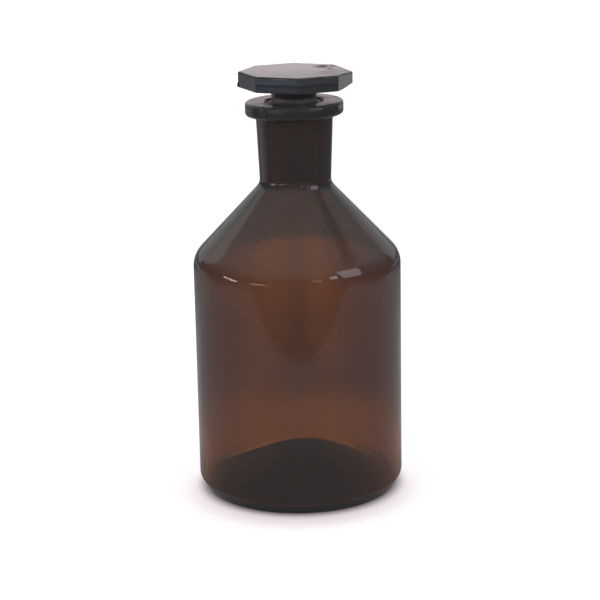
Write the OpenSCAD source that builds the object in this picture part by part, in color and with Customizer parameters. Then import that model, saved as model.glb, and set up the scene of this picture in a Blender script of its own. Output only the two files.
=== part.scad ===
// Narrow-mouth reagent bottle of brown glass with a ground-in glass stopper.
// Sizes are in millimetres. The bottle stands on the plane z = 0 and its axis is Z.

/* [Body] */
// Outside diameter of the body
body_d = 86; // [70:0.5:110]
// Thickness of the body's wall and of the shoulder
body_wall = 3; // [2:0.1:4.5]
// Height where the lines of the wall and the shoulder cross, outside
body_h = 99.9; // [70:0.1:150]
// Round between the wall and the shoulder, outside
shoulder_round = 10.5; // [4:0.5:16]
// Height of the shoulder, from the wall's line to the neck's line
shoulder_h = 30; // [20:0.5:45]

/* [Base] */
// Thickness of the base
base_t = 3.5; // [3:0.1:8]
// Rise of the hollow under the base, at the axis
punt_h = 2; // [0.5:0.1:4]
// Width of the flat ring that the bottle stands on
foot_w = 5; // [3:0.1:8]
// Round of the foot's outer edge
foot_round = 0.8; // [0.3:0.1:1.5]
// Height of the sloping heel above the foot
heel_h = 5.7; // [3:0.1:10]
// Width of the sloping heel, from the foot to the wall
heel_w = 3.3; // [2:0.1:6]
// Round between the heel and the wall, outside
heel_round = 4; // [1:0.1:6]
// Round between the wall and the base, inside
inner_heel_round = 3; // [2:0.1:8]

/* [Ground joint] */
// Diameter of the ground socket at the mouth
joint_d = 24; // [19:0.1:30]
// Length of the ground zone
joint_len = 29; // [20:0.5:35]
// Taper of the joint: length in which the diameter falls by one
joint_taper = 10; // [8:0.5:14]
// Radial gap between the plug and the socket when the stopper is seated
seat_gap = 0.03; // [0.02:0.01:0.08]
// Length that the socket's taper runs on below the ground zone
socket_runout = 1; // [0.5:0.1:2]
// Round of the mouth's edge
mouth_round = 0.7; // [0.3:0.1:1.2]

/* [Neck and lip] */
// Thickness of the neck's wall under the lip
neck_wall = 3.8; // [2.5:0.1:6]
// Thickness of the neck's wall at the shoulder
neck_base_wall = 4.1; // [3:0.1:6]
// Length of the neck below the ground socket
throat_h = 3.7; // [2:0.1:10]
// Round between the neck and the shoulder, outside
neck_round = 5.4; // [2:0.1:8]
// Round between the throat and the shoulder, inside
throat_round = 4; // [1:0.1:6]
// Overhang of the lip beyond the neck
lip_overhang = 4.3; // [2:0.1:6]
// Height of the lip
lip_h = 5.4; // [3.5:0.1:8]
// Round of the lip's upper edge
lip_top_round = 1.1; // [0.4:0.1:1.6]
// Round of the lip's lower edge
lip_under_round = 1.4; // [0.4:0.1:1.6]
// Round in the corner under the lip
lip_corner_round = 0.6; // [0.2:0.1:1.2]

/* [Stopper] */
// Width of the head across its flats
head_flats = 43; // [34:0.1:54]
// Thickness of the head
head_t = 6.4; // [4:0.1:9]
// Bevel along the head's upper and lower edges
head_bevel = 0.6; // [0.2:0.1:1.2]
// Gap between the lip and the head
head_gap = 5.8; // [5:0.1:12]
// Diameter of the stem where it rises from the plug
stem_base_d = 18.5; // [12:0.1:20]
// Diameter of the stem under the head
stem_top_d = 18.8; // [14:0.1:24]
// Round where the stem spreads into the head
stem_head_round = 1.4; // [0.4:0.1:3]
// Depth of the plug's upper edge below the lip
plug_sink = 0.8; // [0.3:0.1:2]
// Round of the plug's upper edge
plug_top_round = 0.6; // [0.2:0.1:1]
// Length of the plug's tip below the ground zone
plug_tip = 3; // [1:0.1:6]
// Round of the plug's lower edge
plug_end_round = 1.5; // [0.5:0.1:3]

/* [Hidden] */
$fn = 96;
glass_brown = [0.27, 0.13, 0.06];

// Flat steps in each rounded corner and in each dome of the outlines
round_steps = 10;
// Sides of the stopper's head
head_sides = 8;
// Length by which the stem's core runs up into the head
stem_into_head = head_t / 2;

// Heights
neck_z = body_h + shoulder_h;
socket_len = joint_len + socket_runout;
lip_z = neck_z + throat_h + socket_len;
lip_under_z = lip_z - lip_h;
plug_top_z = lip_z - plug_sink;
plug_end_z = lip_z - joint_len - plug_tip;
head_z = lip_z + head_gap;

// Radii
body_r = body_d / 2;
inner_r = body_r - body_wall;
throat_r = socket_r(lip_z - socket_len);
neck_base_r = throat_r + neck_base_wall;
neck_top_r = socket_r(lip_z) + neck_wall;
lip_r = neck_top_r + lip_overhang;
foot_r = body_r - heel_w;
foot_inner_r = foot_r - foot_w;
floor_r = inner_r - 2 * inner_heel_round;

// The shoulder's inner line runs beside its outer line, one wall inwards
shoulder_slope = (body_r - neck_base_r) / shoulder_h;
shoulder_offset = body_wall * sqrt(1 + shoulder_slope ^ 2);
inner_shoulder_z = body_h - (shoulder_offset - body_wall) / shoulder_slope;
inner_neck_z = neck_z + (neck_base_r - throat_r - shoulder_offset) / shoulder_slope;

// Radius of the socket's taper at the height z
function socket_r(z) = joint_d / 2 - (lip_z - z) / joint_taper / 2;

// Radius of the plug's taper at the height z
function plug_r(z) = socket_r(z) - seat_gap;

function unit(v) = v / norm(v);

function turned(v, angle) = [v.x * cos(angle) - v.y * sin(angle), v.x * sin(angle) + v.y * cos(angle)];

// Arc in the corner between two edges. It never takes more than half of an edge.
function round_corner(before, corner, after, radius) =
    let (
        to_before = unit(before - corner),
        to_after = unit(after - corner),
        half_angle = acos(to_before * to_after) / 2,
        room = min(norm(before - corner), norm(after - corner)) / 2,
        reach = min(radius / tan(half_angle), room),
        centre = corner + unit(to_before + to_after) * reach / cos(half_angle),
        start = corner + to_before * reach - centre,
        end = corner + to_after * reach - centre,
        sweep = atan2(cross(start, end), start * end)
    )
    [for (i = [0 : round_steps]) centre + turned(start, sweep * i / round_steps)];

// Closed outline from corners written as [r, z] or [r, z, round]
function outline(corners) =
    let (count = len(corners), at = [for (c = corners) [c.x, c.y]])
    [for (i = [0 : count - 1]) each
        len(corners[i]) == 2
            ? [at[i]]
            : round_corner(at[(i + count - 1) % count], at[i], at[(i + 1) % count], corners[i].z)];

// Shallow dome over a disc, level at its rim and at its top, from its rim or from the axis
function dome(rim_r, rim_z, rise, outwards) =
    [for (i = [0 : round_steps])
        let (share = outwards ? i / round_steps : 1 - i / round_steps)
        [rim_r * share, rim_z + rise * (1 - share ^ 2) ^ 2]];

// Bottle blown in one piece: base, wall, shoulder, neck and lip
module bottle() {
    foot_corners = dome(foot_inner_r, 0, punt_h, true);
    outer_corners = [
        [foot_r, 0, foot_round],
        [body_r, heel_h, heel_round],
        [body_r, body_h, shoulder_round],
        [neck_base_r, neck_z, neck_round],
        [neck_top_r, lip_under_z, lip_corner_round],
        [lip_r, lip_under_z, lip_under_round],
        [lip_r, lip_z, lip_top_round],
    ];
    inner_corners = [
        [socket_r(lip_z), lip_z, mouth_round],
        [throat_r, lip_z - socket_len],
        [throat_r, inner_neck_z, throat_round],
        [inner_r, inner_shoulder_z, shoulder_round - body_wall],
        [inner_r, base_t, inner_heel_round],
    ];
    floor_corners = dome(floor_r, base_t, punt_h, false);
    color(glass_brown)
        rotate_extrude()
            polygon(outline(concat(foot_corners, outer_corners, inner_corners, floor_corners)));
}

// Solid stopper pressed in one piece: ground plug, stem and eight-sided head
module stopper() {
    color(glass_brown)
        union() {
            stopper_plug_and_stem();
            stopper_head();
        }
}

module stopper_plug_and_stem() {
    core_z = head_z + stem_into_head;
    rotate_extrude()
        polygon(outline([
            [0, plug_end_z],
            [plug_r(plug_end_z), plug_end_z, plug_end_round],
            [plug_r(plug_top_z), plug_top_z, plug_top_round],
            [stem_base_d / 2, lip_z],
            [stem_top_d / 2, head_z, stem_head_round],
            [stem_top_d / 2 + stem_head_round * 2, head_z],
            [stem_top_d / 2 + stem_head_round * 2, core_z],
            [0, core_z],
        ]));
}

module stopper_head() {
    corner_d = head_flats / cos(180 / head_sides);
    difference() {
        translate([0, 0, head_z])
            cylinder(h = head_t, d = corner_d, $fn = head_sides);
        for (side = [0 : head_sides - 1], edge_z = [head_z, head_z + head_t])
            rotate((side + 0.5) * 360 / head_sides)
                translate([head_flats / 2, 0, edge_z])
                    rotate([0, 45, 0])
                        cube([head_bevel * sqrt(2), corner_d, head_bevel * sqrt(2)], center = true);
    }
}

bottle();
stopper();
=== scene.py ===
import math

import bpy
from mathutils import Matrix, Vector, noise


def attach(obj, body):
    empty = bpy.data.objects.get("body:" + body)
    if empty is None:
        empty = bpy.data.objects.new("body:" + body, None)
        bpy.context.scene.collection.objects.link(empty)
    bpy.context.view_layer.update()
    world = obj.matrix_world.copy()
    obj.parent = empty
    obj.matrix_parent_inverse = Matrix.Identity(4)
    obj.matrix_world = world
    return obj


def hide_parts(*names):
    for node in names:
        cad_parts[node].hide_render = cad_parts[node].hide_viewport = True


# Brown glass reagent bottle with its ground-in stopper, on a white sheet in soft light.
# Sizes of the object are written in millimetres, as in the CAD model, and built in metres.
# Sizes and places of the stage, the lamps and the camera are in metres.

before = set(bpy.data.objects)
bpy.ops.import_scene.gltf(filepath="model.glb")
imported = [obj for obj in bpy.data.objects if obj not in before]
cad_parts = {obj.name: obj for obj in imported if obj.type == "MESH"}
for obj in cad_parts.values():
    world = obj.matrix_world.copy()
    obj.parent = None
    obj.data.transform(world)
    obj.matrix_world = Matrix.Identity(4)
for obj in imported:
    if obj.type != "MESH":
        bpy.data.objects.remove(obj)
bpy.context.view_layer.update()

MM = 0.001

# Body and base. The base is a little thicker than in the CAD model, with a sharper corner inside.
BODY_R = 43.0
BODY_WALL = 3.0
BODY_H = 99.9
SHOULDER_ROUND = 10.5
SHOULDER_H = 30.0
BASE_T = 3.8
PUNT_H = 2.0
FOOT_W = 5.0
FOOT_ROUND = 0.8
HEEL_H = 5.7
HEEL_W = 3.3
HEEL_ROUND = 4.0
INNER_HEEL_ROUND = 0.1

# Ground joint, neck and lip
JOINT_R = 12.0
JOINT_LEN = 29.0
JOINT_SLOPE = 1 / 20
SEAT_GAP = 0.03
SOCKET_LEN = 30.0
MOUTH_ROUND = 0.7
NECK_WALL = 3.8
NECK_BASE_WALL = 4.1
THROAT_H = 3.7
NECK_ROUND = 5.4
THROAT_ROUND = 4.0
LIP_OVERHANG = 4.3
LIP_H = 5.4
LIP_TOP_ROUND = 1.1
LIP_UNDER_ROUND = 1.4
LIP_CORNER_ROUND = 0.6

NECK_Z = BODY_H + SHOULDER_H
LIP_Z = NECK_Z + THROAT_H + SOCKET_LEN
SOCKET_END_Z = LIP_Z - SOCKET_LEN

# Stopper
HEAD_SIDES = 8
HEAD_FLAT_R = 43.0 / 2
HEAD_T = 6.4
HEAD_BEVEL = 0.6
HEAD_UNDER_BEVEL = 0.35
HEAD_CORNER_ROUND = 0.5
HEAD_DISH = 0.08
HEAD_GAP = 5.8
STEM_BASE_R = 9.25
STEM_TOP_R = 9.4
STEM_BASE_ROUND = 0.8
STEM_HEAD_ROUND = 1.4
PLUG_SINK = 0.8
PLUG_TOP_ROUND = 0.6
PLUG_TIP = 3.0
PLUG_END_ROUND = 1.5
PLUG_END_DISH = 0.4
# Point midway on the plug's dished end, as shares of its radius and of the dish's depth
PLUG_END_MIDWAY = (0.5, 0.7)

HEAD_CORNER_R = HEAD_FLAT_R / math.cos(math.pi / HEAD_SIDES)
HEAD_Z = LIP_Z + HEAD_GAP
HEAD_TOP_Z = HEAD_Z + HEAD_T

# Mesh fineness
ROUND_STEP = math.radians(7)
MIN_ROUND_STEPS = 4
OUTLINE_STEP = 2.0
SAME_POINT = 0.01
BOTTLE_SEGMENTS = 192
DOME_STEPS = 12

# Camera, fitted to the outline in the photograph, with its angles in radians
CAMERA_DISTANCE = 0.7618
CAMERA_HEIGHT = 0.2832
CAMERA_AZIMUTH = math.radians(-3.1)
CAMERA_PITCH = 0.2611
CAMERA_ROLL = -0.0187
CAMERA_YAW = 0.0012
IMAGE_SIDE_PX = 600
FOCAL_PX = 1887.6
SENSOR_MM = 36.0
CAMERA_CLIP_START = 0.01


# Outlines

def clamp(value):
    """Value kept between 0 and 1."""
    return max(0.0, min(1.0, value))


def round_corner(before, corner, after, radius):
    """Points of the arc that rounds a corner."""
    to_before = (before - corner).normalized()
    to_after = (after - corner).normalized()
    half_angle = to_before.angle(to_after) / 2
    reach = radius / math.tan(half_angle)
    centre = corner + (to_before + to_after).normalized() * reach / math.cos(half_angle)
    start = corner + to_before * reach - centre
    end = corner + to_after * reach - centre
    sweep = math.atan2(start.x * end.y - start.y * end.x, start.dot(end))
    steps = max(MIN_ROUND_STEPS, math.ceil(abs(sweep) / ROUND_STEP))
    return [centre + Matrix.Rotation(sweep * i / steps, 2) @ start for i in range(steps + 1)]


def smooth_outline(corners):
    """Open outline from (r, z) or (r, z, round) corners, with long edges divided."""
    at = [Vector((c[0], c[1])) for c in corners]
    points = []
    for i, corner in enumerate(corners):
        if len(corner) == 3:
            points.extend(round_corner(at[i - 1], at[i], at[i + 1], corner[2]))
        else:
            points.append(at[i])
    divided = [points[0]]
    for point in points[1:]:
        previous = divided[-1]
        length = (point - previous).length
        if length < SAME_POINT:
            continue
        parts = math.ceil(length / OUTLINE_STEP)
        divided.extend(previous.lerp(point, k / parts) for k in range(1, parts + 1))
    return divided


def dome(rim_r, rim_z, rise, inwards):
    """Shallow dome over a disc, level at its rim and at its top."""
    shares = [i / DOME_STEPS for i in range(DOME_STEPS + 1)]
    if inwards:
        shares.reverse()
    return [(rim_r * s, rim_z + rise * (1 - s * s) ** 2) for s in shares]


# Meshes

def ring_mesh(name, rings, start, end, ground):
    """Closed mesh from rings of points between two poles, with a mark for ground glass."""
    count = len(rings[0])
    points = [p for ring in rings for p in ring]
    first_pole = len(points)
    points += [start, end]
    faces = []
    for i in range(len(rings) - 1):
        for j in range(count):
            k = (j + 1) % count
            faces.append((i * count + j, i * count + k, (i + 1) * count + k, (i + 1) * count + j))
    last = (len(rings) - 1) * count
    for j in range(count):
        k = (j + 1) % count
        faces.append((first_pole, k, j))
        faces.append((first_pole + 1, last + j, last + k))
    mesh = bpy.data.meshes.new(name)
    mesh.from_pydata([Vector(p) * MM for p in points], [], faces)
    marks = mesh.attributes.new("ground", "FLOAT", "POINT")
    values = [g for g in ground for _ in range(count)] + [0.0, 0.0]
    marks.data.foreach_set("value", values)
    mesh.shade_smooth()
    mesh.validate()
    obj = bpy.data.objects.new(name, mesh)
    bpy.context.scene.collection.objects.link(obj)
    return obj


# Two upright seams of the mould, with the angles beside each at which the mesh is finer
SEAM_ANGLES = (math.radians(18), math.radians(198))
SEAM_OFFSETS = (0.003, 0.006, 0.010, 0.015, 0.022, 0.030)
SEAM_HEIGHT = 0.05
SEAM_WIDTH = 0.35

# Slow unevenness of the blown glass: height, waves round the bottle, place in the noise
OUTER_SWELL = (0.03, 1.6, 3.0)
INNER_SWELL = (0.12, 1.3, 11.0)
SWELL_LENGTH = 38.0

# The inside is even in the ground socket and a little way below it
INNER_EVEN_H = 3.0
INNER_FADE_H = 8.0

# The lip is a little out of square with the axis: rise per millimetre to the right and the back
LIP_TILT_RIGHT = 0.013
LIP_TILT_BACK = 0.006
LIP_TILT_FADE = 6.0

# Share of the ground matt finish in the socket, on top of the lip and round its edges
SOCKET_MATT = 0.35
SOCKET_MATT_EDGE = 0.1
LIP_MATT = 0.5
LIP_FACE_H = 0.05
LIP_EDGE_MATT = 0.1

# The base is uneven along its inner corner: a hump in a longer hollow, as (height, half width)
BASE_HUMP_ANGLE = math.radians(82)
BASE_HUMP = (4.1, math.radians(30))
BASE_HOLLOW = (-1.9, math.radians(70))
BASE_UNEVEN_FROM = 18.0
BASE_UNEVEN_TOP = 22.0

# Extra thickness of the wall at some heights, most of it under the neck
WALL_CHANGE = (
    (14, 0.0), (58, 0.35), (77, 0.1), (92, 0.0), (112, 0.0), (133, 0.8),
)


def bottle_angles():
    """Even angles round the bottle, with finer ones at the seams."""
    angles = [2 * math.pi * i / BOTTLE_SEGMENTS for i in range(BOTTLE_SEGMENTS)]
    for seam in SEAM_ANGLES:
        angles = [a for a in angles if abs(a - seam) > SEAM_OFFSETS[-1]]
        angles.append(seam)
        for offset in SEAM_OFFSETS:
            angles.extend((seam - offset, seam + offset))
    return sorted(angles)


def seam_rise(radius, angle):
    """Rise of the mould's seams."""
    rise = 0.0
    for seam in SEAM_ANGLES:
        along = (angle - seam) * radius
        rise += SEAM_HEIGHT * math.exp(-(along / SEAM_WIDTH) ** 2)
    return rise


def swell(angle, z, height, turns, seed):
    """Slow unevenness round and along the bottle."""
    place = Vector((math.cos(angle) * turns, math.sin(angle) * turns, z / SWELL_LENGTH + seed))
    return height * noise.noise(place)


def wall_change(z):
    """Extra thickness of the wall at a height."""
    for (low, before), (high, after) in zip(WALL_CHANGE, WALL_CHANGE[1:]):
        if low <= z < high:
            share = (z - low) / (high - low)
            ease = share * share * (3 - 2 * share)
            return before + (after - before) * ease
    return 0.0


def bottle_outline():
    """Outline from the axis under the base, round the outside, and back inside to the floor."""
    throat_r = JOINT_R - SOCKET_LEN * JOINT_SLOPE
    neck_base_r = throat_r + NECK_BASE_WALL
    neck_top_r = JOINT_R + NECK_WALL
    lip_r = neck_top_r + LIP_OVERHANG
    lip_under_z = LIP_Z - LIP_H
    inner_r = BODY_R - BODY_WALL
    slope = (BODY_R - neck_base_r) / SHOULDER_H
    offset = BODY_WALL * math.sqrt(1 + slope ** 2)
    inner_shoulder_z = BODY_H - (offset - BODY_WALL) / slope
    inner_neck_z = NECK_Z + (neck_base_r - throat_r - offset) / slope
    foot_r = BODY_R - HEEL_W
    lip_top_r = JOINT_R + MOUTH_ROUND * 2
    outside = smooth_outline(dome(foot_r - FOOT_W, 0, PUNT_H, False) + [
        (foot_r, 0, FOOT_ROUND),
        (BODY_R, HEEL_H, HEEL_ROUND),
        (BODY_R, BODY_H, SHOULDER_ROUND),
        (neck_base_r, NECK_Z, NECK_ROUND),
        (neck_top_r, lip_under_z, LIP_CORNER_ROUND),
        (lip_r, lip_under_z, LIP_UNDER_ROUND),
        (lip_r, LIP_Z, LIP_TOP_ROUND),
        (lip_top_r, LIP_Z),
    ])
    inside = smooth_outline([
        (lip_top_r, LIP_Z),
        (JOINT_R, LIP_Z, MOUTH_ROUND),
        (throat_r, SOCKET_END_Z),
        (throat_r, inner_neck_z, THROAT_ROUND),
        (inner_r, inner_shoulder_z, SHOULDER_ROUND - BODY_WALL),
        (inner_r, BASE_T, INNER_HEEL_ROUND),
    ] + dome(inner_r - INNER_HEEL_ROUND, BASE_T, PUNT_H, True))
    return outside, inside[1:]


def outer_shift(point, angle):
    """Shift of the outer surface along its normal. The foot stays even."""
    if point.y < HEEL_H:
        return 0.0
    return seam_rise(point.x, angle) + swell(angle, point.y, *OUTER_SWELL)


def inner_shift(point, angle):
    """Shift of the inner surface along its normal. The ground socket stays even."""
    fade = clamp((SOCKET_END_Z - INNER_EVEN_H - point.y) / INNER_FADE_H)
    return fade * (swell(angle, point.y, *INNER_SWELL) + wall_change(point.y))


def base_rise(point, angle):
    """Rise of the uneven base, which fades out towards the axis and up the wall."""
    away = (angle - BASE_HUMP_ANGLE + math.pi) % (2 * math.pi) - math.pi
    waves = (BASE_HUMP, BASE_HOLLOW)
    rise = sum(height * math.exp(-(away / width) ** 2) for height, width in waves)
    wall_r = BODY_R - BODY_WALL
    corner_z = BASE_T + INNER_HEEL_ROUND
    outwards = clamp((point.x - BASE_UNEVEN_FROM) / (wall_r - BASE_UNEVEN_FROM))
    upwards = clamp((BASE_UNEVEN_TOP - point.y) / (BASE_UNEVEN_TOP - corner_z))
    return rise * outwards * upwards


def lip_tilt(x, y, z):
    """Rise of the lip's slant, which fades out down the neck."""
    share = clamp((z - LIP_Z + LIP_H + LIP_TILT_FADE) / LIP_TILT_FADE)
    return share * (LIP_TILT_RIGHT * x + LIP_TILT_BACK * y)


def bottle_matt(point, is_outer):
    """Matt share at a point of the outline: in the socket, on the lip and round its edges."""
    if not is_outer and SOCKET_END_Z - SOCKET_MATT_EDGE < point.y < LIP_Z - MOUTH_ROUND:
        return SOCKET_MATT
    if point.y > LIP_Z - LIP_FACE_H:
        return LIP_MATT
    return LIP_EDGE_MATT if point.y > LIP_Z - LIP_TOP_ROUND else 0.0


def build_bottle():
    """Closed mesh of the bottle, ring by ring from under the base round to the floor inside."""
    outside, inside = bottle_outline()
    angles = bottle_angles()
    outline = outside + inside
    rings, ground = [], []
    for i, point in enumerate(outline[1:-1], start=1):
        along = (outline[i + 1] - outline[i - 1]).normalized()
        normal = Vector((along.y, -along.x))
        is_outer = i < len(outside)
        ring = []
        for angle in angles:
            shift = outer_shift(point, angle) if is_outer else inner_shift(point, angle)
            r = point.x + normal.x * shift
            z = point.y + normal.y * shift
            x, y = r * math.cos(angle), r * math.sin(angle)
            rise = lip_tilt(x, y, z) if is_outer else base_rise(point, angle)
            ring.append((x, y, z + rise))
        rings.append(ring)
        ground.append(bottle_matt(point, is_outer))
    start = (0, 0, outline[0].y)
    end = (0, 0, outline[-1].y)
    return ring_mesh("bottle_glass_shell", rings, start, end, ground)


# Relief of the pressed head: faint lines along its facets, as (height share, rise, half width)
HEAD_LINES = ((0.56, 0.017, 0.75), (0.30, 0.002, 0.15), (0.42, 0.002, 0.15))
HEAD_FACET_STEPS = 26
HEAD_TOP_STEPS = 52
HEAD_EDGE_STEPS = 5
HEAD_CORNER_STEPS = 6

# Places of the mesh's points along a facet, denser towards its corners, and along the underside
HALF_FACET_SHARES = (0.02, 0.05, 0.085, 0.12, 0.16, 0.20, 0.24, 0.30, 0.37)
FACET_SHARES = (*HALF_FACET_SHARES, 0.5, *(1 - s for s in reversed(HALF_FACET_SHARES)))
UNDERSIDE_SHARES = (0.98, 0.9, 0.7, 0.45, 0.2, 0.0)

# Shallow round mark in the head's top face
MARK_R = 4.0
MARK_DEPTH = 0.34
MARK_FROM_AXIS = 15.3
MARK_ANGLE = math.radians(41.5)

# Flash left at one lower corner of the head
FLASH_OUT = 0.45
FLASH_REACH = 0.9
FLASH_H = 0.9
FLASH_Z = HEAD_Z + FLASH_H

# The head is worn thinner at one corner
WEAR_TOP = 0.65
WEAR_UNDER = 0.8
WEAR_REACH = 8.0

# The pressed head sits a little aside, turned and tilted on its plug
HEAD_ASIDE = 0.7
HEAD_TURN = math.radians(-1.1)
HEAD_TILT = math.radians(0.33)

# Share of the ground matt finish on the plug and on the foot of the stem above it
PLUG_MATT = 0.7
STEM_FOOT_MATT = 1.0
STEM_FOOT_H = 1.7
STEM_FOOT_EDGE = 0.15


def octagon_points(flat_r):
    """Eight-sided ring with rounded corners, always with the same count of points."""
    half_turn = math.pi / HEAD_SIDES
    centre_r = (flat_r - HEAD_CORNER_ROUND) / math.cos(half_turn)
    steps = HEAD_CORNER_STEPS
    arcs = []
    for side in range(HEAD_SIDES):
        middle = 2 * half_turn * side
        centre = Vector((centre_r * math.cos(middle), centre_r * math.sin(middle)))
        turns = [middle + half_turn * (2 * i / steps - 1) for i in range(steps + 1)]
        spokes = [Vector((math.cos(a), math.sin(a))) for a in turns]
        arcs.append([centre + HEAD_CORNER_ROUND * spoke for spoke in spokes])
    ring = []
    for side in range(HEAD_SIDES):
        here, there = arcs[side][-1], arcs[(side + 1) % HEAD_SIDES][0]
        ring.extend(arcs[side])
        ring.extend(here.lerp(there, s) for s in FACET_SHARES)
    return ring


def head_top_height(x, y):
    """Height of the head's top face, slightly dished, with its round mark."""
    from_axis = math.hypot(x, y) / HEAD_FLAT_R
    sink = HEAD_DISH * max(0.0, 1 - from_axis ** 2)
    mark_x = MARK_FROM_AXIS * math.cos(MARK_ANGLE)
    mark_y = MARK_FROM_AXIS * math.sin(MARK_ANGLE)
    share = math.hypot(x - mark_x, y - mark_y) / MARK_R
    if share < 1:
        sink += MARK_DEPTH * (1 - share ** 2) ** 2
    return HEAD_TOP_Z - sink


def head_side():
    """Edge of the head from top to bottom, as (inset, z): round, facet with faint lines, round."""
    turns = [math.pi / 2 * i / HEAD_EDGE_STEPS for i in range(HEAD_EDGE_STEPS + 1)]
    side = []
    for a in turns:
        z = HEAD_TOP_Z - HEAD_BEVEL * (1 - math.cos(a))
        side.append((HEAD_BEVEL * (1 - math.sin(a)), z))
    facet_t = HEAD_T - HEAD_BEVEL - HEAD_UNDER_BEVEL
    for i in range(1, HEAD_FACET_STEPS):
        z = HEAD_TOP_Z - HEAD_BEVEL - facet_t * i / HEAD_FACET_STEPS
        out = 0.0
        for share, rise, half_width in HEAD_LINES:
            out += rise * math.exp(-((z - HEAD_Z - HEAD_T * share) / half_width) ** 2)
        side.append((-out, z))
    for a in turns:
        z = HEAD_Z + HEAD_UNDER_BEVEL * (1 - math.sin(a))
        side.append((HEAD_UNDER_BEVEL * (1 - math.cos(a)), z))
    return side


def with_flash(point, z):
    """Point of the head's side, pushed out where the flash is."""
    aside = (point - Vector((-HEAD_CORNER_R, 0))).length / FLASH_REACH
    above = (z - FLASH_Z) / FLASH_REACH
    near = math.exp(-aside ** 2 - above ** 2)
    return point + point.normalized() * FLASH_OUT * near


def worn(x, y, z):
    """Height of a point of the head, nearer to its middle at the worn corner."""
    near = math.exp(-(math.hypot(x - HEAD_CORNER_R, y) / WEAR_REACH) ** 2)
    share = (z - HEAD_Z) / HEAD_T
    return z + near * (WEAR_UNDER * (1 - share) - WEAR_TOP * share)


def askew(x, y, z):
    """Point of the stopper with its head aside, turned and tilted. The stem and plug stay straight."""
    share = clamp((z - HEAD_Z + STEM_HEAD_ROUND) / STEM_HEAD_ROUND)
    turned_x = x * math.cos(HEAD_TURN) - y * math.sin(HEAD_TURN)
    turned_y = x * math.sin(HEAD_TURN) + y * math.cos(HEAD_TURN)
    return (turned_x + HEAD_ASIDE * share, turned_y, z - HEAD_TILT * x * share)


def stopper_outline():
    """Outline of the turned part, from the head's underside to the middle of the plug's end."""
    plug_top_z = LIP_Z - PLUG_SINK
    plug_end_z = LIP_Z - JOINT_LEN - PLUG_TIP
    plug_top_r = JOINT_R - PLUG_SINK * JOINT_SLOPE - SEAT_GAP
    plug_end_r = JOINT_R - (LIP_Z - plug_end_z) * JOINT_SLOPE - SEAT_GAP
    foot_z = LIP_Z + STEM_FOOT_H
    midway_r, midway_dish = PLUG_END_MIDWAY
    return smooth_outline([
        (STEM_TOP_R + STEM_HEAD_ROUND * 2, HEAD_Z),
        (STEM_TOP_R, HEAD_Z, STEM_HEAD_ROUND),
        (STEM_BASE_R, foot_z + STEM_FOOT_EDGE),
        (STEM_BASE_R, foot_z - STEM_FOOT_EDGE),
        (STEM_BASE_R, LIP_Z, STEM_BASE_ROUND),
        (plug_top_r, plug_top_z, PLUG_TOP_ROUND),
        (plug_end_r, plug_end_z, PLUG_END_ROUND),
        (plug_end_r * midway_r, plug_end_z + PLUG_END_DISH * midway_dish),
        (0, plug_end_z + PLUG_END_DISH),
    ])


def stopper_matt(point):
    """Matt share at a point of the turned outline: on the plug and on the stem's foot."""
    ground_top_z = LIP_Z - PLUG_SINK - PLUG_TOP_ROUND
    ground_end_z = LIP_Z - JOINT_LEN - PLUG_TIP + PLUG_END_ROUND
    if ground_end_z < point.y < ground_top_z and point.x > STEM_TOP_R:
        return PLUG_MATT
    return STEM_FOOT_MATT if ground_top_z <= point.y < LIP_Z + STEM_FOOT_H else 0.0


def build_stopper():
    """Closed mesh of the stopper, ring by ring from the middle of its top to the plug's end."""
    edge = octagon_points(HEAD_FLAT_R - HEAD_BEVEL)
    angles = [math.atan2(p.y, p.x) for p in edge]
    spokes = [Vector((math.cos(a), math.sin(a))) for a in angles]
    rings = []
    for i in range(1, HEAD_TOP_STEPS):
        share = i / HEAD_TOP_STEPS
        circle = [HEAD_FLAT_R * share * spoke for spoke in spokes]
        level = [c.lerp(p * share, share ** 2) for c, p in zip(circle, edge)]
        rings.append([askew(p.x, p.y, worn(p.x, p.y, head_top_height(p.x, p.y))) for p in level])
    for inset, z in head_side():
        level = [with_flash(p, z) for p in octagon_points(HEAD_FLAT_R - inset)]
        rings.append([askew(p.x, p.y, worn(p.x, p.y, z)) for p in level])
    turned = stopper_outline()
    for share in UNDERSIDE_SHARES:
        level = [(turned[0].x * spoke).lerp(p, share) for spoke, p in zip(spokes, edge)]
        rings.append([askew(p.x, p.y, worn(p.x, p.y, HEAD_Z)) for p in level])
    ground = [0.0] * len(rings)
    for p in turned[1:-1]:
        rings.append([askew(p.x * spoke.x, p.x * spoke.y, p.y) for spoke in spokes])
        ground.append(stopper_matt(p))
    rings.reverse()
    ground.reverse()
    start = (0, 0, turned[-1].y)
    end = askew(0, 0, head_top_height(0, 0))
    return ring_mesh("stopper_glass", rings, start, end, ground)


# Shader helpers

WHITE = (1.0, 1.0, 1.0)
BLACK = (0.0, 0.0, 0.0)


def add_node(tree, kind, **inputs):
    """Node with some of its inputs set, their spaces written as underscores."""
    node = tree.nodes.new(kind)
    for name, value in inputs.items():
        node.inputs[name.replace("_", " ")].default_value = value
    return node


def calc(tree, operation, *values):
    """Math node from numbers and sockets."""
    node = tree.nodes.new("ShaderNodeMath")
    node.operation = operation
    for socket, value in zip(node.inputs, values):
        if isinstance(value, (int, float)):
            socket.default_value = value
        else:
            tree.links.new(value, socket)
    return node.outputs["Value"]


def product(tree, first, *others):
    """Product of numbers and sockets."""
    for other in others:
        first = calc(tree, "MULTIPLY", first, other)
    return first


def smooth(tree, value, start, end, low=0.0, high=1.0):
    """Soft step of a value between two limits."""
    node = add_node(tree, "ShaderNodeMapRange",
                    From_Min=start, From_Max=end, To_Min=low, To_Max=high)
    node.interpolation_type = "SMOOTHSTEP"
    tree.links.new(value, node.inputs["Value"])
    return node.outputs["Result"]


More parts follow.
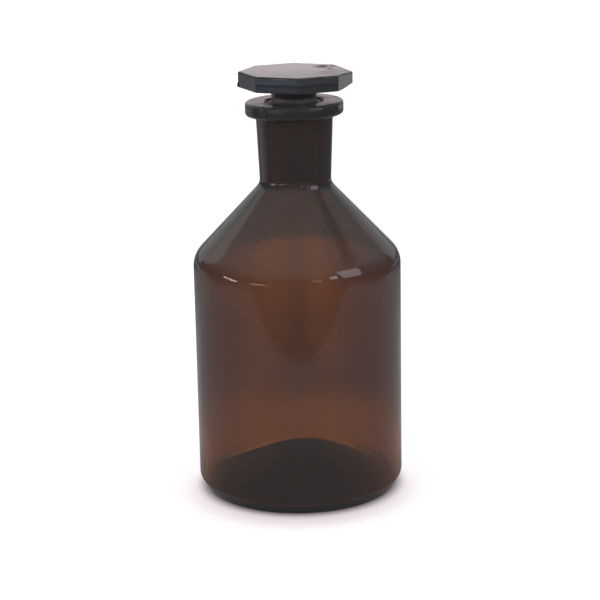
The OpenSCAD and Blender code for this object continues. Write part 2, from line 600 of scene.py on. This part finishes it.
def mix(tree, factor, first, second):
    """Number between two others, each a number or a socket."""
    spread = calc(tree, "SUBTRACT", second, first)
    return calc(tree, "MULTIPLY_ADD", spread, factor, first)


def mix_colour(tree, factor, first, second):
    """Colour between two others, each a colour or a socket."""
    node = tree.nodes.new("ShaderNodeMix")
    node.data_type = "RGBA"
    tree.links.new(factor, node.inputs["Factor"])
    for name, value in (("A", first), ("B", second)):
        if isinstance(value, tuple):
            node.inputs[name].default_value = (*value, 1)
        else:
            tree.links.new(value, node.inputs[name])
    return node.outputs["Result"]


def scaled(tree, colour, factor):
    """Colour times a number."""
    node = tree.nodes.new("ShaderNodeVectorMath")
    node.operation = "SCALE"
    if isinstance(colour, tuple):
        node.inputs[0].default_value = colour
    else:
        tree.links.new(colour, node.inputs[0])
    tree.links.new(factor, node.inputs["Scale"])
    return node.outputs["Vector"]


def added(tree, first, second):
    """Sum of two colours."""
    node = tree.nodes.new("ShaderNodeVectorMath")
    node.operation = "ADD"
    for socket, value in zip(node.inputs, (first, second)):
        if isinstance(value, tuple):
            socket.default_value = value
        else:
            tree.links.new(value, socket)
    return node.outputs["Vector"]


def from_point(tree, position, x, y):
    """Distance from a point on the sheet."""
    node = tree.nodes.new("ShaderNodeVectorMath")
    node.operation = "DISTANCE"
    node.inputs[1].default_value = (x, y, 0)
    tree.links.new(position, node.inputs[0])
    return node.outputs["Value"]


def noise_over(tree, position, **settings):
    """Noise over a position, about 0 to 1."""
    node = add_node(tree, "ShaderNodeTexNoise", **settings)
    tree.links.new(position, node.inputs["Vector"])
    return node.outputs["Fac"]


def ridge(tree, value, centre, half_width):
    """Soft ridge of height one over a value."""
    away = calc(tree, "ABSOLUTE", calc(tree, "SUBTRACT", value, centre))
    return smooth(tree, away, 0, half_width, 1, 0)


def ray_kinds(tree):
    """What the ray is: seen by the camera or through glass, through glass, or mirrored."""
    path = tree.nodes.new("ShaderNodeLightPath")
    through = path.outputs["Is Transmission Ray"]
    seen = calc(tree, "MAXIMUM", path.outputs["Is Camera Ray"], through)
    mirrored = product(tree, path.outputs["Is Glossy Ray"], calc(tree, "SUBTRACT", 1, through))
    return seen, through, mirrored


# Glass

GLASS_IOR = 1.52
GLASS_ABSORBS = (0.62, 0.385, 0.02)
GLASS_DENSITY = 930
GLASS_CLEAR = 0.97
GROUND_CLEAR = 0.87
GROUND_ROUGHNESS = 0.42

# Faint haze on the glass: it dims it a little and makes a thin rough film
HAZE_NOISE = {"Scale": 60.0, "Detail": 6.0, "Roughness": 0.6}
HAZE_TINT = (0.93, 0.93, 0.93)
HAZE_TINT_RANGE = (0.3, 0.7)
FILM_RANGE = (0.35, 0.75)
FILM_ROUGHNESS = 0.02

# Relief: slow waves in the clear glass, and fine grain where it is ground
WAVE_NOISE = {"Scale": 35.0, "Detail": 2.0}
GRAIN_NOISE = {"Scale": 2600.0, "Detail": 3.0}
GRAIN_RISE = (0.25, 0.80)
RELIEF = {"Strength": 0.12, "Distance": 0.0004}


def brown_glass(name):
    """Clear glass that swallows light on its way through, matt where it is ground."""
    material = bpy.data.materials.new(name)
    material.use_nodes = True
    tree = material.node_tree
    link = tree.links.new
    shader = tree.nodes["Principled BSDF"]
    output = tree.nodes["Material Output"]
    shader.inputs["IOR"].default_value = GLASS_IOR
    volume = tree.nodes.new("ShaderNodeVolumeAbsorption")
    volume.inputs["Color"].default_value = (*GLASS_ABSORBS, 1)
    volume.inputs["Density"].default_value = GLASS_DENSITY
    link(volume.outputs["Volume"], output.inputs["Volume"])

    position = tree.nodes.new("ShaderNodeTexCoord").outputs["Object"]
    mark = tree.nodes.new("ShaderNodeAttribute")
    mark.attribute_name = "ground"
    ground = mark.outputs["Fac"]
    link(mix(tree, ground, GLASS_CLEAR, GROUND_CLEAR), shader.inputs["Transmission Weight"])

    haze = noise_over(tree, position, **HAZE_NOISE)
    tint = tree.nodes.new("ShaderNodeValToRGB")
    stops = zip(tint.color_ramp.elements, HAZE_TINT_RANGE, (HAZE_TINT, WHITE))
    for stop, place, colour in stops:
        stop.position = place
        stop.color = (*colour, 1)
    link(haze, tint.inputs["Fac"])
    link(tint.outputs["Color"], shader.inputs["Base Color"])

    film = smooth(tree, haze, *FILM_RANGE, 0.0, FILM_ROUGHNESS)
    link(mix(tree, ground, film, GROUND_ROUGHNESS), shader.inputs["Roughness"])

    waves = noise_over(tree, position, **WAVE_NOISE)
    grain = noise_over(tree, position, **GRAIN_NOISE)
    bump = add_node(tree, "ShaderNodeBump", **RELIEF)
    link(mix(tree, smooth(tree, ground, *GRAIN_RISE), waves, grain), bump.inputs["Height"])
    link(bump.outputs["Normal"], shader.inputs["Normal"])
    return material


# Stage: a white sheet that sweeps up behind the object. The camera sees it plain white with the
# object's shadow, deepened by painted shade round the foot. Mirrored by the glass or seen through it,
# it shows painted light and shade: uneven, and dim far off.

SHEET_FRONT = -1.6
SHEET_HALF_WIDTH = 1.6
SHEET_BACK = 1.1
SHEET_SWEEP = 0.5
SHEET_SWEEP_STEPS = 12
SHEET_TOP = 1.4
SHEET_COLOUR = (0.54, 0.47, 0.50)
SHEET_ROUGHNESS = 0.9
SHEET_GLOSS = 0.1
FIBRE_NOISE = {"Scale": 220.0, "Detail": 4.0}
FIBRE_SHADE = 0.97

# Lift of the sheet to white where it is seen plain; near the foot it falls away into a painted shadow
# round the foot, with a pink tint
PLAIN_LIFT = 0.70
CONTACT_SHADE = (0.0378, 0.0458)
CONTACT_FRONT = -0.0007
SHADE_TINT = (1.0, 0.85, 0.92)
SOFT_SHADE = (0.032, 0.054)
SOFT_SHADE_FRONT = -0.010
SOFT_SHADE_SHARE = 0.4

# Painted light and shade of the sheet seen through the glass: painted shade under the foot, painted
# light behind it, dimmer beyond
BEHIND_FOOT = (0.019, 0.059)
BEHIND_SHADE = (0.040, 0.064)
BEHIND_SHADE_PLACE = -0.005
BEHIND_SHADE_NARROW = 1.6
BEHIND_SIDES = (0.040, 0.068)
BEHIND_SIDES_END = (0.045, 0.078)
BEHIND_SIDES_SHARE = 1.3
BEHIND_NEAR = (0.095, 0.145)
BEHIND_LIGHT = 1.12
BEHIND_DIM = 0.54
BEHIND_RISE = (0.18, 0.32)
BEHIND_RISE_LIGHT = 0.25
BEHIND_FAR = (0.42, 0.60)
BEHIND_FAR_SHARE = 0.45
BEHIND_HIGH = (0.05, 0.35)
BEHIND_HIGH_SHARE = 0.15

# Two painted streaks of light on it to the left and right of the middle, and painted dimming to the
# right and left
STREAK_PLACES = (-0.025, 0.019)
STREAK_STARTS = ((0.11, 0.13), (0.17, 0.21))
STREAK_HALF_WIDTH = 0.020
STREAK_SHARE = 0.22
RIGHT_DIM = (0.020, 0.045)
RIGHT_DIM_START = (0.105, 0.135)
RIGHT_DIM_SHARE = 0.36
LEFT_DIM = (-0.055, -0.035)
LEFT_DIM_START = (0.20, 0.25)
LEFT_DIM_SHARE = 0.15

# Painted light and shade of the sheet where the glass mirrors it, seen as a painted reflection in the
# glass
MIRRORED_SHEET = 0.40
MIRRORED_DIM = 0.12
MIRRORED_DIM_TINT = (0.75, 1.0, 1.04)
MIRRORED_WALL = 0.50
MIRRORED_BACK = (0.95, 0.86, 0.89)
BACK_START = (0.5, 0.9)
BACK_RISE = (0.365, 0.41)
BACK_LOW_SHARE = 0.60
BACK_BAND_START = (0.415, 0.445)
BACK_BAND_END = (0.450, 0.475)
BACK_BAND_SHARE = 0.40
BACK_TOP = (0.58, 0.72)
BACK_TOP_SHARE = 0.15
# Painted shade near the foot, in the sheet as the glass mirrors it
MIRRORED_FOOT = 0.45
FOOT_FRONT = -0.05
FOOT_REACH = (0.05, 0.13)
NEAR_FRONT = (-0.275, -0.245)
NEAR_BACK = (0.15, 0.45)
NEAR_HALF_WIDTH = (0.36, 0.50)
BACK_HALF_WIDTH = (0.12, 0.50)
WALL_RISE = (0.05, 0.30)

# Painted pools of light on it: x, y, reach of the full light, reach with its soft edge, light
MIRRORED_PATCHES = (
    (-1.15, -1.25, 0.35, 0.80, (0.62, 0.80, 1.15)),
    (1.15, -1.25, 0.35, 0.80, (0.48, 0.50, 0.66)),
    (0.86, 0.88, 0.15, 0.40, (0.68, 0.68, 0.72)),
    (-0.86, 0.78, 0.20, 0.55, (0.34, 0.35, 0.39)),
    (-0.56, 0.34, 0.08, 0.29, (0.39, 0.40, 0.39)),
    (-1.00, -0.20, 0.05, 0.30, (0.34, 0.37, 0.39)),
)


def mirrored_sheet(tree, position, x, y, z):
    """Painted light and shade of the sheet where the glass mirrors it."""
    aside = calc(tree, "ABSOLUTE", x)
    near = product(
        tree,
        smooth(tree, y, *NEAR_FRONT),
        smooth(tree, y, *NEAR_BACK, 1, 0),
        smooth(tree, aside, *NEAR_HALF_WIDTH, 1, 0),
    )
    far_level = smooth(tree, z, *WALL_RISE, MIRRORED_DIM, MIRRORED_WALL)
    is_lit = calc(tree, "MAXIMUM", near, smooth(tree, z, *WALL_RISE))
    # painted shade near the foot
    foot = smooth(tree, from_point(tree, position, 0, FOOT_FRONT), *FOOT_REACH, MIRRORED_FOOT, 1)
    level = product(tree, mix(tree, near, far_level, MIRRORED_SHEET), foot)
    plain = scaled(tree, mix_colour(tree, is_lit, MIRRORED_DIM_TINT, WHITE), level)
    is_back = product(tree, smooth(tree, y, *BACK_START), smooth(tree, aside, *BACK_HALF_WIDTH, 1, 0))
    band = product(tree, smooth(tree, z, *BACK_BAND_START), smooth(tree, z, *BACK_BAND_END, 1, 0))
    back_level = product(
        tree,
        smooth(tree, z, *BACK_RISE, BACK_LOW_SHARE, 1),
        mix(tree, band, 1, BACK_BAND_SHARE),
        smooth(tree, z, *BACK_TOP, 1, BACK_TOP_SHARE),
    )
    light = mix_colour(tree, is_back, plain, scaled(tree, MIRRORED_BACK, back_level))
    for patch_x, patch_y, inner, outer, patch_light in MIRRORED_PATCHES:
        share = smooth(tree, from_point(tree, position, patch_x, patch_y), inner, outer, 1, 0)
        light = mix_colour(tree, share, light, patch_light)
    return light


def plain_sheet(tree, position):
    """Lift of the sheet to white where the camera sees it plain, falling away round the foot as
    painted shade with a pink tinge.
    """
    contact = smooth(tree, from_point(tree, position, 0, CONTACT_FRONT), *CONTACT_SHADE)
    from_soft = from_point(tree, position, 0, SOFT_SHADE_FRONT)
    share = product(tree, contact, smooth(tree, from_soft, *SOFT_SHADE, 1 - SOFT_SHADE_SHARE, 1))
    tint = mix_colour(tree, share, SHADE_TINT, WHITE)
    return scaled(tree, tint, product(tree, share, PLAIN_LIFT))


def sheet_behind(tree, position, x, y, z):
    """Painted light and shade of the sheet where it is seen through the glass."""
    light = smooth(tree, y, *BEHIND_NEAR, BEHIND_LIGHT, BEHIND_DIM)
    light = calc(tree, "ADD", light, smooth(tree, y, *BEHIND_RISE, 0, BEHIND_RISE_LIGHT))
    for place, start in zip(STREAK_PLACES, STREAK_STARTS):
        streak = product(tree, ridge(tree, x, place, STREAK_HALF_WIDTH), smooth(tree, y, *start))
        light = product(tree, light, calc(tree, "MULTIPLY_ADD", streak, STREAK_SHARE, 1))
    right = smooth(tree, y, *RIGHT_DIM_START, 0, RIGHT_DIM_SHARE)
    right = product(tree, smooth(tree, x, *RIGHT_DIM), right)
    left = smooth(tree, y, *LEFT_DIM_START, 0, LEFT_DIM_SHARE)
    left = product(tree, smooth(tree, x, *LEFT_DIM, 1, 0), left)
    sides = smooth(tree, calc(tree, "ABSOLUTE", x), *BEHIND_SIDES, 0, BEHIND_SIDES_SHARE)
    sides = product(tree, sides, smooth(tree, y, *BEHIND_SIDES_END, 1, 0))
    across = product(tree, calc(tree, "SUBTRACT", x, BEHIND_SHADE_PLACE), BEHIND_SHADE_NARROW)
    away = calc(tree, "SQRT", calc(tree, "MULTIPLY_ADD", across, across, product(tree, y, y)))
    return product(
        tree,
        light,
        calc(tree, "SUBTRACT", 1, calc(tree, "ADD", right, left)),
        calc(tree, "ADD", 1, sides),
        smooth(tree, y, *BEHIND_FAR, 1, BEHIND_FAR_SHARE),
        smooth(tree, from_point(tree, position, 0, 0), *BEHIND_FOOT),
        smooth(tree, away, *BEHIND_SHADE),
        smooth(tree, z, *BEHIND_HIGH, 1, BEHIND_HIGH_SHARE),
    )


def white_paper():
    """White paper with fine fibres and painted light and shade, set apart for rays from the camera,
    through glass and mirrored.
    """
    material = bpy.data.materials.new("white_sheet")
    material.use_nodes = True
    tree = material.node_tree
    link = tree.links.new
    shader = tree.nodes["Principled BSDF"]
    shader.inputs["Roughness"].default_value = SHEET_ROUGHNESS
    shader.inputs["Specular IOR Level"].default_value = SHEET_GLOSS
    seen, through, mirrored = ray_kinds(tree)
    position = tree.nodes.new("ShaderNodeTexCoord").outputs["Object"]
    split = tree.nodes.new("ShaderNodeSeparateXYZ")
    link(position, split.inputs["Vector"])
    x, y, z = split.outputs["X"], split.outputs["Y"], split.outputs["Z"]

    fibres = noise_over(tree, position, **FIBRE_NOISE)
    fibre_colour = tuple(c * FIBRE_SHADE for c in SHEET_COLOUR)
    paper = mix_colour(tree, fibres, SHEET_COLOUR, fibre_colour)
    is_glass_ray = calc(tree, "MAXIMUM", mirrored, through)
    link(mix_colour(tree, is_glass_ray, paper, BLACK), shader.inputs["Base Color"])

    plain = scaled(tree, plain_sheet(tree, position), seen)
    behind = scaled(tree, WHITE, sheet_behind(tree, position, x, y, z))
    unmirrored = mix_colour(tree, through, plain, behind)
    light = mix_colour(tree, mirrored, unmirrored, mirrored_sheet(tree, position, x, y, z))
    link(light, shader.inputs["Emission Color"])
    shader.inputs["Emission Strength"].default_value = 1.0
    return material


def build_sheet():
    """Floor that sweeps up into a back wall."""
    profile = [(SHEET_FRONT, 0.0), (0.0, 0.0), (SHEET_BACK, 0.0)]
    for i in range(1, SHEET_SWEEP_STEPS + 1):
        a = math.pi / 2 * i / SHEET_SWEEP_STEPS
        profile.append((SHEET_BACK + SHEET_SWEEP * math.sin(a), SHEET_SWEEP * (1 - math.cos(a))))
    profile.append((SHEET_BACK + SHEET_SWEEP, SHEET_TOP))
    verts, faces = [], []
    for y, z in profile:
        verts.extend(((-SHEET_HALF_WIDTH, y, z), (SHEET_HALF_WIDTH, y, z)))
    for i in range(len(profile) - 1):
        faces.append((2 * i, 2 * i + 1, 2 * i + 3, 2 * i + 2))
    mesh = bpy.data.meshes.new("white_sheet")
    mesh.from_pydata(verts, [], faces)
    mesh.shade_smooth()
    sheet = bpy.data.objects.new("white_sheet", mesh)
    bpy.context.scene.collection.objects.link(sheet)
    sheet.rotation_euler.z = CAMERA_AZIMUTH
    mesh.materials.append(white_paper())


# Room and lamps. Directions are in degrees from the object: azimuth 0 is towards the camera,
# positive to the right; elevation is above the level.

ROOM_LIGHT = 0.85
ROOM_BEHIND = 0.35
ROOM_MIRRORED = (0.10, 0.10, 0.10)

# Soft panels that the glass mirrors: azimuth, elevation, half width, half width with its soft
# edge, and the light that each adds or takes away
ROOM_PANELS = (
    (-90, 86, 22, 82, (0.38, 0.38, 0.38)),
    (-136, 26, 10, 18, (0.45, 0.43, 0.43)),
    (124, 36, 10, 21, (0.12, 0.14, 0.16)),
    (96, 53, 2, 8, (-0.24, -0.24, -0.24)),
)


def towards(azimuth, elevation):
    """Direction from the object."""
    a, e = math.radians(azimuth), math.radians(elevation)
    direction = Vector((math.sin(a) * math.cos(e), -math.cos(a) * math.cos(e), math.sin(e)))
    return Matrix.Rotation(CAMERA_AZIMUTH, 3, "Z") @ direction


def build_world():
    """Plain light room, white where it is seen, with soft panels where the glass mirrors it."""
    world = bpy.data.worlds.new("soft_room")
    bpy.context.scene.world = world
    world.use_nodes = True
    tree = world.node_tree
    background = tree.nodes["Background"]
    background.inputs["Strength"].default_value = 1.0
    direction = tree.nodes.new("ShaderNodeTexCoord").outputs["Generated"]
    room = ROOM_MIRRORED
    for azimuth, elevation, inner, outer, light in ROOM_PANELS:
        facing = tree.nodes.new("ShaderNodeVectorMath")
        facing.operation = "DOT_PRODUCT"
        facing.inputs[1].default_value = towards(azimuth, elevation)
        tree.links.new(direction, facing.inputs[0])
        edges = (math.cos(math.radians(outer)), math.cos(math.radians(inner)))
        share = smooth(tree, facing.outputs["Value"], *edges)
        room = added(tree, room, scaled(tree, light, share))
    seen, through, mirrored = ray_kinds(tree)
    plain = mix_colour(tree, seen, (ROOM_LIGHT,) * 3, WHITE)
    unmirrored = mix_colour(tree, through, plain, (ROOM_BEHIND,) * 3)
    tree.links.new(mix_colour(tree, mirrored, unmirrored, room), background.inputs["Color"])


# Lamps that only the glass mirrors: azimuth, elevation, width, height and tilt in degrees,
# distance, light
LAMPS = {
    "left_strip": (-77, 2, 19, 4, -20, 1.2, (8.5, 8.3, 8.2)),
    "left_front_strip": (-44, -2.5, 15, 3, 0, 1.6, (5.0, 4.8, 4.7)),
    "right_window": (63.6, 26, 24, 28, -4, 1.2, (1.85, 1.95, 2.2)),
    "right_front_pane": (41, 20, 8, 12, 0, 1.2, (2.8, 2.8, 2.8)),
    "front_pane": (21, 13, 10, 8, 0, 1.2, (1.4, 1.4, 1.4)),
}
LAMP_AIM = Vector((0, 0, 0.1))

# Soft light from above, which the glass doesn't mirror
TOP_BOX_PLACE = Vector((0.0, 0.15, 1.3))
TOP_BOX_SIDE = 1.2
TOP_BOX_LIGHT = (0.3, 0.3, 0.3)


def add_lamp(name, place, width, height, tilt, light):
    """Flat lamp that faces the object, with its light given as radiance in red, green and blue."""
    lamp = bpy.data.lights.new(name, "AREA")
    lamp.shape = "RECTANGLE"
    lamp.size = width
    lamp.size_y = height
    brightest = max(light)
    lamp.color = [c / brightest for c in light]
    lamp.energy = brightest * math.pi * width * height
    obj = bpy.data.objects.new(name, lamp)
    facing = (LAMP_AIM - place).to_track_quat("-Z", "Y").to_matrix()
    turn = facing @ Matrix.Rotation(math.radians(tilt), 3, "Z")
    obj.matrix_world = Matrix.Translation(place) @ turn.to_4x4()
    obj.visible_camera = False
    bpy.context.scene.collection.objects.link(obj)
    return obj


def build_lamps():
    """Lamps for the reflections, and a soft one from above."""
    for name, (azimuth, elevation, width, height, tilt, distance, light) in LAMPS.items():
        place = LAMP_AIM + towards(azimuth, elevation) * distance
        wide = 2 * distance * math.tan(math.radians(width / 2))
        high = 2 * distance * math.tan(math.radians(height / 2))
        lamp = add_lamp(name, place, wide, high, tilt, light)
        lamp.visible_diffuse = False
        lamp.visible_transmission = False
    top = add_lamp("top_soft_box", TOP_BOX_PLACE, TOP_BOX_SIDE, TOP_BOX_SIDE, 0, TOP_BOX_LIGHT)
    top.visible_glossy = False


def build_camera():
    """Camera at the photograph's viewpoint."""
    data = bpy.data.cameras.new("photo_camera")
    data.sensor_fit = "HORIZONTAL"
    data.sensor_width = SENSOR_MM
    data.lens = SENSOR_MM * FOCAL_PX / IMAGE_SIDE_PX
    data.clip_start = CAMERA_CLIP_START
    camera = bpy.data.objects.new("photo_camera", data)
    turn = Matrix.Rotation(CAMERA_AZIMUTH, 4, "Z")
    place = turn @ Vector((0, -CAMERA_DISTANCE, CAMERA_HEIGHT))
    look = (
        Matrix.Rotation(CAMERA_AZIMUTH - CAMERA_YAW, 4, "Z")
        @ Matrix.Rotation(math.pi / 2 - CAMERA_PITCH, 4, "X")
        @ Matrix.Rotation(CAMERA_ROLL, 4, "Z")
    )
    camera.matrix_world = Matrix.Translation(place) @ look
    bpy.context.scene.collection.objects.link(camera)
    bpy.context.scene.camera = camera


def build_object():
    """Both pieces of glass, each in the place of its CAD node."""
    bottle = build_bottle()
    bottle.data.materials.append(brown_glass("bottle_brown_glass"))
    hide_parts("bottle")
    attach(bottle, "bottle")
    stopper = build_stopper()
    stopper.data.materials.append(brown_glass("stopper_brown_glass"))
    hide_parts("stopper")
    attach(stopper, "stopper")


# A ray passes many surfaces of glass
LIGHT_BOUNCES = 24

scene = bpy.context.scene
scene.view_settings.view_transform = "Standard"
scene.cycles.max_bounces = LIGHT_BOUNCES
scene.cycles.transmission_bounces = LIGHT_BOUNCES
build_camera()
build_object()
build_sheet()
build_world()
build_lamps()
